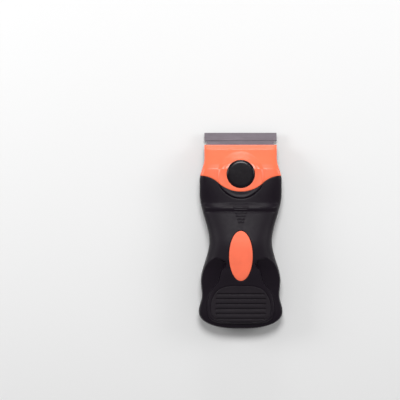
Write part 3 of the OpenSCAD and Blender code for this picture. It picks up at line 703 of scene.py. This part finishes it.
def oval_piece():
    """A polar grid: rings of points from the middle to the rim, with a rounded edge."""
    n = OVAL_AROUND
    shares = np.linspace(0, 1, OVAL_RINGS)[1:] ** OVAL_SPACING
    angles = np.linspace(0, 2 * math.pi, n, endpoint=False)
    u, a = np.meshgrid(shares, angles, indexing="ij")
    x = (OVAL_W / 2 - OVAL_GAP) * u * np.cos(a)
    y = OVAL_Y + (OVAL_L / 2 - OVAL_GAP) * u * np.sin(a)
    points = np.concatenate([[(0, OVAL_Y)], np.stack([x.ravel(), y.ravel()], 1)])
    edge = np.concatenate([[0.0], u.ravel()])
    rise = INLAY_RISE - OVAL_EDGE_H * smooth(OVAL_EDGE_FROM, 1.0, edge) ** OVAL_EDGE_POWER
    faces = [(0, 1 + i, 1 + (i + 1) % n) for i in range(n)]
    faces += [tuple(1 + k for k in f) for f in grid_faces(len(shares), n, True)[:, ::-1]]
    rim = np.arange(1 + (len(shares) - 1) * n, 1 + len(shares) * n)
    return shell_patch("oval_plate", points, faces, rim, rise)


finish_piece(oval_piece(), "housing", "orange_inlay", "oval_inlay")


# Tail pad
PAD_N, PAD_MARGIN, PAD_LAST = 190, 1, 0.5
PAD_LIP_H, PAD_LIP_L = 0.06, 0.18
PAD_EDGE_H, PAD_EDGE_IN, PAD_EDGE_OUT = 0.25, -0.3, 0.02


def pad_piece():
    """A fine grid over the pad with its grooves, cut to the pad's outline."""
    low, high = PAD_OUTLINE.min(axis=0) - PAD_MARGIN, PAD_OUTLINE.max(axis=0) + PAD_MARGIN
    xs = np.linspace(low[0], high[0], PAD_N)
    ys = np.linspace(high[1], low[1], PAD_N)
    gy, gx = np.meshgrid(ys, xs, indexing="ij")
    t = np.minimum(LIP_Y - gy, BODY_L - PAD_LAST)
    inside = signed_distance(gx, gy, PAD_OUTLINE)
    z = base_front(gx, t) + INLAY_RISE
    sides = np.array([(handle_at(b), a * TAIL_W) for a, b in PAD])
    last_t = handle_at(PAD[-3][1])
    for i in range(GROOVE_N):
        groove_t = last_t - GROOVE_STEP * i
        length = min(PAD_GROOVE_W, np.interp(groove_t, *sides.T) - 4 * PAD_GROOVE_R)
        away = np.hypot(t - groove_t, np.maximum(0, np.abs(gx) - length / 2 + PAD_GROOVE_R))
        z = z - np.sqrt(np.maximum(0, PAD_GROOVE_R ** 2 - away ** 2))
        z = z - PAD_LIP_H * np.exp(-((away - PAD_GROOVE_R) / PAD_LIP_L) ** 2)
    z = z - PAD_EDGE_H * smooth(PAD_EDGE_IN, PAD_EDGE_OUT, inside)
    rows, cols = gx.shape
    top = np.stack([gx.ravel(), gy.ravel(), z.ravel()], 1)
    bottom = np.stack([gx.ravel(), gy.ravel(), (base_front(gx, t) - INLAY_T).ravel()], 1)
    n = len(top)
    quads = grid_faces(rows, cols, False)
    index = np.arange(n).reshape(rows, cols)
    rim = np.concatenate([index[0, :-1], index[:-1, -1], index[-1, :0:-1], index[:0:-1, 0]])
    faces = [tuple(f[::-1]) for f in quads] + [tuple(i + n for i in f) for f in quads]
    faces += [(a, b, b + n, a + n) for a, b in zip(rim, np.roll(rim, -1))]
    pad = mesh_object("ribbed_pad", np.concatenate([top, bottom]), faces)
    cut(pad, prism("pad_plan", PAD_OUTLINE, BELOW, REACH), "INTERSECT")
    return pad


finish_piece(pad_piece(), "housing", "grip_rubber", "tail_pad")


# Push button
LATHE_N = 128
STEM_R, STEM_END, SKIN_T, SKIRT_T = 2.0, 8.35, 1.8, 1.4
RIM_W, RIM_H, RIM_DROP, RIM_LAST, RIM_N = 1.7, 0.9, 0.036, 88, 16
CROWN_H, CROWN_FROM, CROWN_TO, CROWN_N = 0.06, 0.75, 0.03, 18


def lathe(name, profile):
    """A closed solid of revolution about the button's axis, from [radius, height] points.

    A profile that starts and ends on the axis gets a point at each end. Another one is closed
    from its last point to its first.
    """
    n = LATHE_N
    pts = np.array(profile, float)
    rows = pts[pts[:, 0] > 0]
    angles = np.linspace(0, 2 * math.pi, n, endpoint=False)
    verts = [(r * math.cos(a), BUTTON_Y + r * math.sin(a), z) for r, z in rows for a in angles]
    faces = [tuple(f) for f in grid_faces(len(rows), n, True)]
    last = (len(rows) - 1) * n
    if len(rows) == len(pts):
        faces += [(last + i, last + (i + 1) % n, (i + 1) % n, i) for i in range(n)]
    else:
        verts += [(0, BUTTON_Y, pts[0, 1]), (0, BUTTON_Y, pts[-1, 1])]
        first, second = len(verts) - 2, len(verts) - 1
        faces += [(first, (i + 1) % n, i) for i in range(n)]
        faces += [(second, last + i, last + (i + 1) % n) for i in range(n)]
    return mesh_object(name, verts, faces)


def button_piece():
    """A cap with a rounded rim and a low crown, its stem, and the flange behind it."""
    r, face, skirt_z = BUTTON_D / 2, BUTTON_Z, CEILING_Z - LEAF_GAP - FLANGE_T
    profile = [(0, STEM_END), (STEM_R / 3, STEM_END), (STEM_R, STEM_END + STEM_R / 3),
               (STEM_R, face - SKIN_T), (r - SKIRT_T, face - SKIN_T), (r - SKIRT_T, skirt_z),
               (r, skirt_z)]
    profile += [(r - RIM_W * (1 - math.cos(a)), face - RIM_DROP - RIM_H * (1 - math.sin(a)))
                for a in np.radians(np.linspace(0, RIM_LAST, RIM_N))]
    profile += [(r * s, face - CROWN_H * s ** 2)
                for s in np.linspace(CROWN_FROM, CROWN_TO, CROWN_N)]
    profile.append((0, face))
    button = lathe("round_button", profile)
    inside_r = r - SKIRT_T / 2
    flange = lathe("flange", [(inside_r, skirt_z), (FLANGE_R, skirt_z),
                              (FLANGE_R, skirt_z + FLANGE_T), (inside_r, skirt_z + FLANGE_T)])
    cut(flange, prism("front", box(-REACH, BUTTON_Y + FLANGE_FRONT, REACH, REACH), BELOW, REACH))
    cut(button, flange, "UNION")
    return button


finish_piece(button_piece(), "button", "button_plastic", "push_button")


# Button spring
COIL_N, COIL_STEPS, WIRE_SIDES = 4, 40, 12


def spring_piece():
    """Round wire along the spring's helix, closed at both ends."""
    turns = np.linspace(0, 2 * math.pi * COIL_N, COIL_N * COIL_STEPS + 1)
    around = np.linspace(0, 2 * math.pi, WIRE_SIDES, endpoint=False)
    a, b = np.meshgrid(turns, around, indexing="ij")
    reach = (SPRING_D - WIRE_D + WIRE_D * np.cos(b)) / 2
    rise = (SPRING_TOP - SPRING_FOOT - WIRE_D) * a / turns[-1]
    z = SPRING_FOOT + rise + WIRE_D / 2 * (1 + np.sin(b))
    verts = np.stack([reach * np.cos(a), BUTTON_Y + reach * np.sin(a), z], -1).reshape(-1, 3)
    faces = [tuple(f) for f in grid_faces(len(turns), WIRE_SIDES, True)[:, ::-1]]
    faces.append(tuple(range(WIRE_SIDES)))
    faces.append(tuple(range(len(verts) - WIRE_SIDES, len(verts)))[::-1])
    return mesh_object("coil_spring", verts, faces)


spring = spring_piece()
finish_piece(spring, "housing", "clamp_steel", "button_spring")
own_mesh(spring)


# Materials
NOISE_ROUGHNESS, NOISE_LOW, NOISE_HIGH = 0.55, 0.35, 0.65


def linear(rgb):
    """A colour as the screen shows it, 0 to 255, as linear light."""
    return tuple(c / 255 / 12.92 if c <= 10 else ((c / 255 + 0.055) / 1.055) ** 2.4 for c in rgb)


class Shader:
    """A principled material with helpers for the textures that vary it."""

    def __init__(self, name, rgb, metallic=0.0, specular=0.5):
        self.material = bpy.data.materials.new(name)
        self.material.use_nodes = True
        self.tree = self.material.node_tree
        self.main = self.tree.nodes["Principled BSDF"]
        self.colour = linear(rgb)
        self.main.inputs["Metallic"].default_value = metallic
        self.main.inputs["Specular IOR Level"].default_value = specular
        self.coordinates = self.tree.nodes.new("ShaderNodeTexCoord").outputs["Object"]

    def add(self, kind, **values):
        node = self.tree.nodes.new(kind)
        for key, value in values.items():
            setattr(node, key, value)
        return node

    def link(self, a, b):
        self.tree.links.new(a, b)

    def noise(self, size, detail=3.0, stretch=(1, 1, 1)):
        """Noise with features of a size in millimetres, stretched along the axes."""
        mapping = self.add("ShaderNodeMapping")
        mapping.inputs["Scale"].default_value = [1 / s for s in stretch]
        self.link(self.coordinates, mapping.inputs["Vector"])
        noise = self.add("ShaderNodeTexNoise")
        noise.inputs["Scale"].default_value = 1 / (size * MM)
        noise.inputs["Detail"].default_value = detail
        noise.inputs["Roughness"].default_value = NOISE_ROUGHNESS
        self.link(mapping.outputs["Vector"], noise.inputs["Vector"])
        return noise.outputs["Fac"]

    def ramp(self, value, low, high, start=NOISE_LOW, end=NOISE_HIGH):
        """Maps a value between start and end to one between low and high."""
        node = self.add("ShaderNodeMapRange")
        node.inputs["From Min"].default_value = start
        node.inputs["From Max"].default_value = end
        node.inputs["To Min"].default_value = low
        node.inputs["To Max"].default_value = high
        self.link(value, node.inputs["Value"])
        return node.outputs["Result"]

    def tint(self, value, strength):
        """Varies the colour's brightness by a share, up and down."""
        shade = self.ramp(value, 1 - strength, 1 + strength)
        scale = self.add("ShaderNodeVectorMath", operation="SCALE")
        scale.inputs[0].default_value = self.colour
        self.link(shade, scale.inputs["Scale"])
        self.link(scale.outputs["Vector"], self.main.inputs["Base Color"])

    def rough(self, value, low, high):
        """Varies the roughness between two values."""
        self.link(self.ramp(value, low, high), self.main.inputs["Roughness"])

    def bump(self, value, height):
        """Relief of a height in millimetres."""
        node = self.add("ShaderNodeBump")
        node.inputs["Distance"].default_value = height * MM
        self.link(value, node.inputs["Height"])
        self.link(node.outputs["Normal"], self.main.inputs["Normal"])


def orange_plastic():
    shader = Shader("orange_plastic", (251, 115, 78), specular=0.42)
    shader.tint(shader.noise(9, 2), 0.02)
    shader.rough(shader.noise(1.6), 0.28, 0.34)
    shader.bump(shader.noise(0.22, 2), 0.001)
    return shader.material


def black_plastic():
    """Half-gloss plastic with a matt texture where the shell is marked."""
    shader = Shader("black_plastic", (21, 14, 23), specular=0.18)
    shader.tint(shader.noise(7, 2), 0.05)
    mark = shader.add("ShaderNodeAttribute", attribute_name="textured").outputs["Fac"]
    extra = shader.ramp(mark, 0, 0.14, 0, 1)
    total = shader.add("ShaderNodeMath", operation="ADD")
    shader.link(shader.ramp(shader.noise(1.8), 0.34, 0.4), total.inputs[0])
    shader.link(extra, total.inputs[1])
    shader.link(total.outputs["Value"], shader.main.inputs["Roughness"])
    shader.bump(shader.noise(0.25, 2), 0.002)
    return shader.material


def button_plastic():
    shader = Shader("button_plastic", (13, 7, 14), specular=0.28)
    shader.tint(shader.noise(4, 2), 0.03)
    shader.rough(shader.noise(2.2), 0.21, 0.24)
    shader.bump(shader.noise(0.3, 2), 0.0006)
    return shader.material


def grip_rubber():
    shader = Shader("grip_rubber", (27, 21, 28), specular=0.22)
    shader.tint(shader.noise(5, 2), 0.06)
    shader.rough(shader.noise(1.2), 0.5, 0.64)
    shader.bump(shader.noise(0.16, 2), 0.01)
    return shader.material


def orange_inlay():
    shader = Shader("orange_inlay", (252, 115, 82), specular=0.35)
    shader.tint(shader.noise(6, 2), 0.03)
    shader.rough(shader.noise(1.2), 0.58, 0.7)
    shader.bump(shader.noise(0.18, 2), 0.01)
    return shader.material


def steel(name, rgb, low, high, stretch):
    """Ground steel, with its marks along one axis."""
    shader = Shader(name, rgb, metallic=1.0)
    shader.tint(shader.noise(5, 3), 0.04)
    shader.rough(shader.noise(0.5, 3, stretch), low, high)
    shader.bump(shader.noise(0.12, 3, stretch), 0.001)
    return shader.material


def jaw_rubber():
    shader = Shader("jaw_rubber", (40, 38, 42), specular=0.3)
    shader.tint(shader.noise(3, 2), 0.08)
    shader.rough(shader.noise(0.8), 0.7, 0.85)
    shader.bump(shader.noise(0.2, 2), 0.012)
    return shader.material


MATERIALS = {
    "orange_plastic": orange_plastic(), "black_plastic": black_plastic(),
    "button_plastic": button_plastic(), "grip_rubber": grip_rubber(),
    "orange_inlay": orange_inlay(), "jaw_rubber": jaw_rubber(),
    "blade_steel": steel("blade_steel", (127, 120, 127), 0.66, 0.72, (14, 1, 1)),
    "clamp_steel": steel("clamp_steel", (150, 152, 156), 0.32, 0.45, (10, 1, 1)),
    "screw_steel": steel("screw_steel", (140, 142, 147), 0.28, 0.4, (1, 1, 6))}
SOFT_EDGES = {"blade_spine": 0.12, "clamp_rocker": 0.12, "jaw_pad": 0.08, "head_screws": 0.06,
              "handle_screws": 0.06, "rocker_pin": 0.1}
SOFT_STEPS, SOFT_ANGLE = 3, 35


def dress(obj, slot):
    obj.data.materials.clear()
    obj.data.materials.append(MATERIALS[slot])


def soften(obj, width):
    """A small rounding on a CAD node's edges."""
    bevel = obj.modifiers.new("bevel", "BEVEL")
    bevel.width = width * MM
    bevel.segments = SOFT_STEPS
    bevel.limit_method = "ANGLE"
    bevel.angle_limit = math.radians(SOFT_ANGLE)
    bevel.harden_normals = True


for row in frame["record"]["subparts"]:
    dress(NODES[row["node"]], row["material_slot"])
for obj, slot in PIECES.items():
    dress(obj, slot)
for name, width in SOFT_EDGES.items():
    soften(NODES[name], width)


# Floor and light
FLOOR_SIZE, FLOOR_LOW = 4000.0, -20
# the pulled blade's corner comes 1.5 below the back, so the floor lies a little lower
FLOOR_Z = -1.6
HEAD_POINT = (0, 20, 10)
# name, place, the point that it faces, diameter and power in watts
LAMPS = (("key", (0, 280, 650), (0, 0, 0), 240, 2.8),
         ("front", (0, 580, 90), HEAD_POINT, 260, 0.9),
         ("left", (-490, 150, 260), HEAD_POINT, 240, 1.0),
         ("right", (490, 150, 260), HEAD_POINT, 240, 0.8))
SKY_STRENGTH = 0.31


def add_floor():
    outline = box(-FLOOR_SIZE, -FLOOR_SIZE, FLOOR_SIZE, FLOOR_SIZE)
    floor = prism("floor", outline, FLOOR_LOW, FLOOR_Z)
    shader = Shader("floor", (252, 252, 252), specular=0.0)
    shader.rough(shader.noise(40), 0.85, 0.95)
    floor.data.materials.append(shader.material)


def add_area(name, place, target, size, power):
    """A round lamp that faces a point."""
    data = bpy.data.lights.new(name, "AREA")
    data.shape = "DISK"
    data.size = size * MM
    data.energy = power
    lamp = bpy.data.objects.new(name, data)
    lamp.location = Vector(place) * MM
    lamp.rotation_euler = (Vector(target) - Vector(place)).to_track_quat("-Z", "Y").to_euler()
    bpy.context.scene.collection.objects.link(lamp)


def add_world():
    world = bpy.data.worlds.new("world")
    bpy.context.scene.world = world
    world.use_nodes = True
    background = world.node_tree.nodes["Background"]
    background.inputs["Color"].default_value = (1, 1, 1, 1)
    background.inputs["Strength"].default_value = SKY_STRENGTH


add_floor()
for lamp in LAMPS:
    add_area(*lamp)
add_world()
bpy.context.scene.view_settings.view_transform = "Standard"
